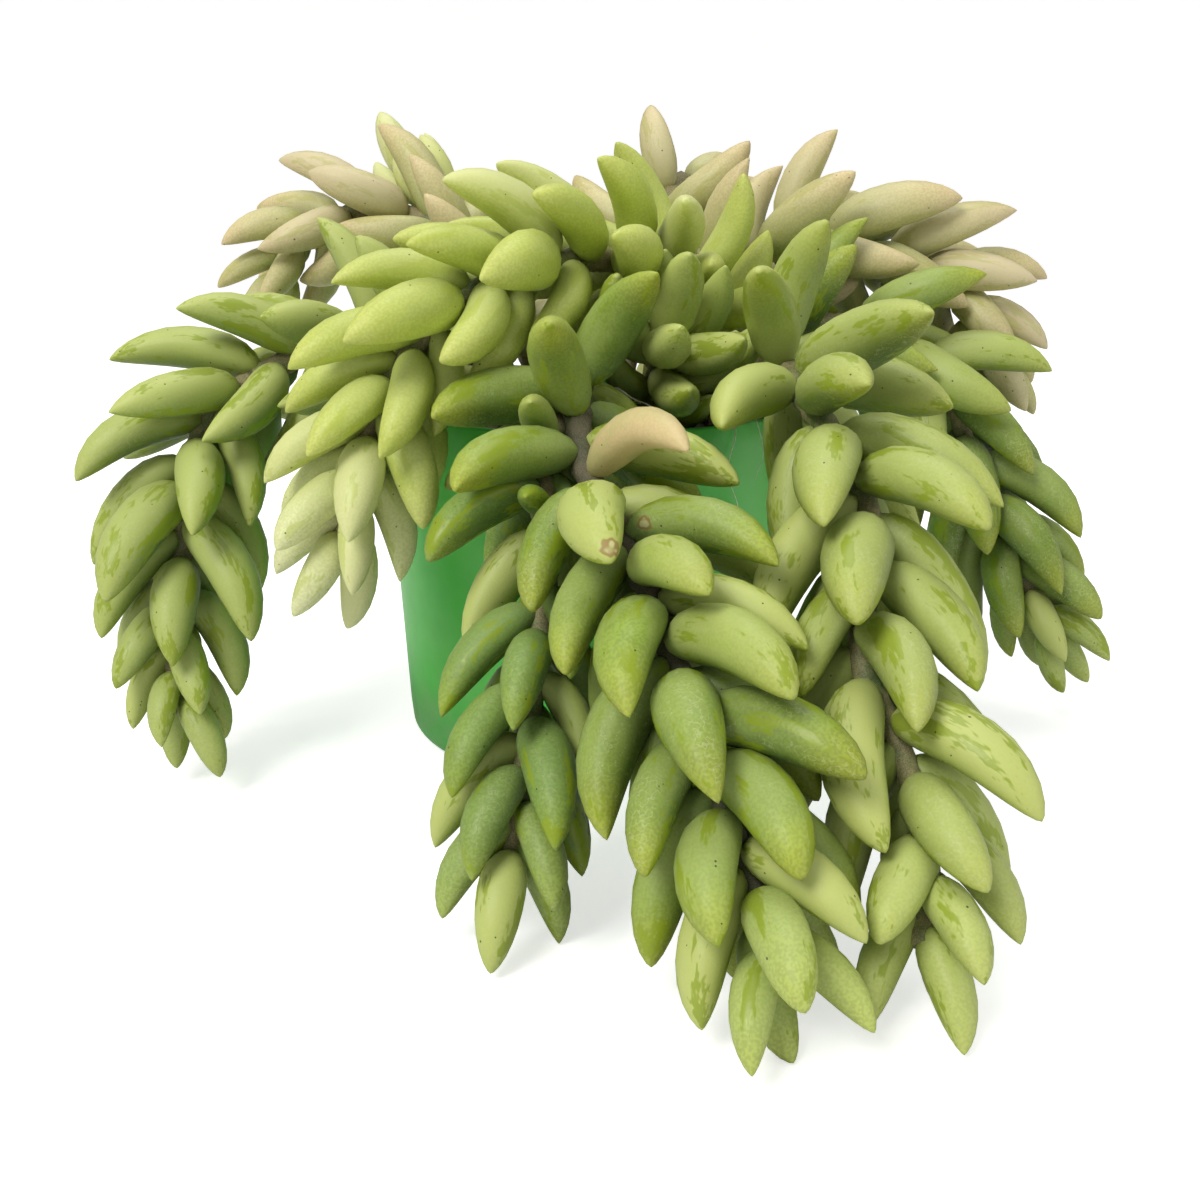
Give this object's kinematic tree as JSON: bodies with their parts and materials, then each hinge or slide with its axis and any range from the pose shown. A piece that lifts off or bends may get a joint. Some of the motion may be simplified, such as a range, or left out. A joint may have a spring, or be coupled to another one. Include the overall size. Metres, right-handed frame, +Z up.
{
  "type": "potted burros tail plant",
  "caption": "Trailing succulent with plump overlapping leaves on arching stems, rooted in soil in a small round nursery pot.",
  "frame": {"origin": "middle of the pot's underside, on the surface the pot stands on", "axes": "+Z up; -Y towards the side of the plant that the picture shows, +X to that viewer's right"},
  "size_m": [0.1932, 0.2082, 0.121],
  "materials": {
    "pot": "smooth thin glossy plastic, slightly translucent",
    "soil": "dry matt crumbly potting soil",
    "leaf_fresh": "soft satin skin with a thin waxy bloom",
    "leaf_deep": "soft satin skin with a blue-green waxy bloom",
    "leaf_pale": "soft satin skin, pale yellow-green, waxy bloom",
    "leaf_blush": "soft satin skin with a beige-pink sun blush and waxy bloom"
  },
  "bodies": {
    "root": {"pot": "pot", "soil": "soil", "stem_front": "leaf_fresh", "stem_front_right": "leaf_fresh", "stem_front_low": "leaf_deep", "stem_arch_left": "leaf_pale", "stem_left": "leaf_deep", "stem_back_left": "leaf_blush", "stem_back_right": "leaf_blush", "stem_right": "leaf_fresh", "stem_back": "leaf_blush", "stem_upright": "leaf_pale", "stem_back_side": "leaf_deep", "stem_crown": "leaf_deep"}
  },
  "joints": []
}
